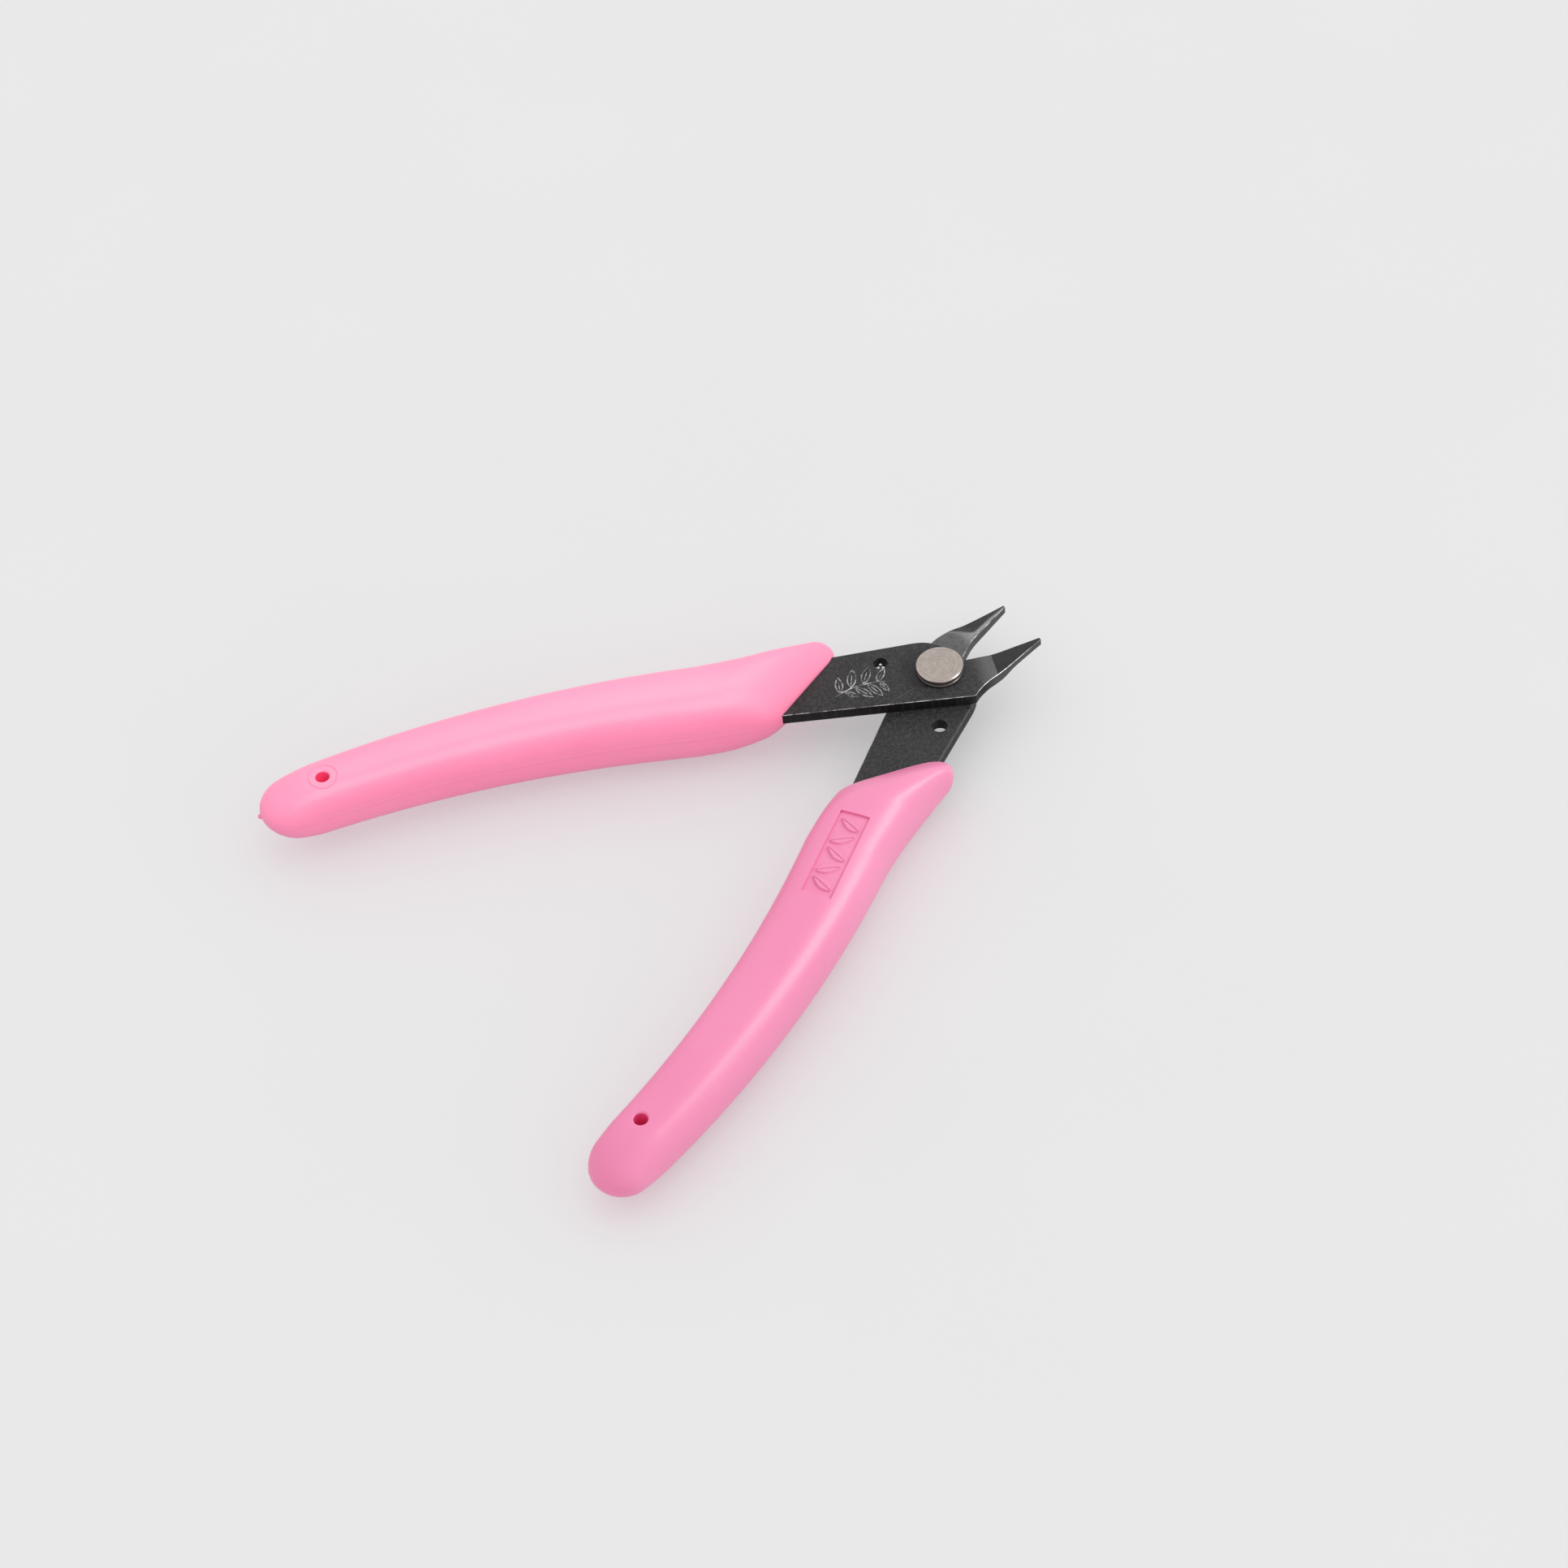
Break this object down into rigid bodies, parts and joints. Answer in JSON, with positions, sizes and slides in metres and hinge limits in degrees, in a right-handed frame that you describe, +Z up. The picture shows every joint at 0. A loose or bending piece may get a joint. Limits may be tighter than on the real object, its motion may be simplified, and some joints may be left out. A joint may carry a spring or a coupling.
{
  "type": "floral snips",
  "caption": "Spring-opened floral snips: pointed bypass jaws turning on a rivet, with long curved soft grips on flat steel arms.",
  "frame": {"origin": "centre of the footprint on the surface the tool lies on", "axes": "+X from the grips to the jaw tips along the line that halves the open tool, +Y towards the front grip, +Z up, out of the face of the rivet head"},
  "size_m": [0.119, 0.0992, 0.015],
  "materials": {
    "blade_steel": "black oxide over a fine granular surface, bright where the edges are worn",
    "grip_vinyl": "pink dipped vinyl, satin",
    "rivet_steel": "nickel-plated steel, turned face with a polished rim",
    "washer_steel": "bright steel, darkened",
    "spring_wire": "bright drawn wire"
  },
  "bodies": {
    "rear_half": {"rear_blade": "blade_steel", "rear_grip": "grip_vinyl", "pivot_rivet": "rivet_steel", "front_washer": "washer_steel", "rear_washer": "washer_steel"},
    "front_half": {"front_blade": "blade_steel", "front_grip": "grip_vinyl", "return_spring": "spring_wire"}
  },
  "joints": [
    {"name": "pivot", "type": "hinge", "parent": "rear_half", "child": "front_half", "pos_m": [0.04143, 0, 0.00748], "axis": [0, 0, 1], "range_deg": [0, 34.5], "stiffness_Nm_per_rad": 0.4, "springref_deg": -5.73, "deforming": ["return_spring"]}
  ]
}
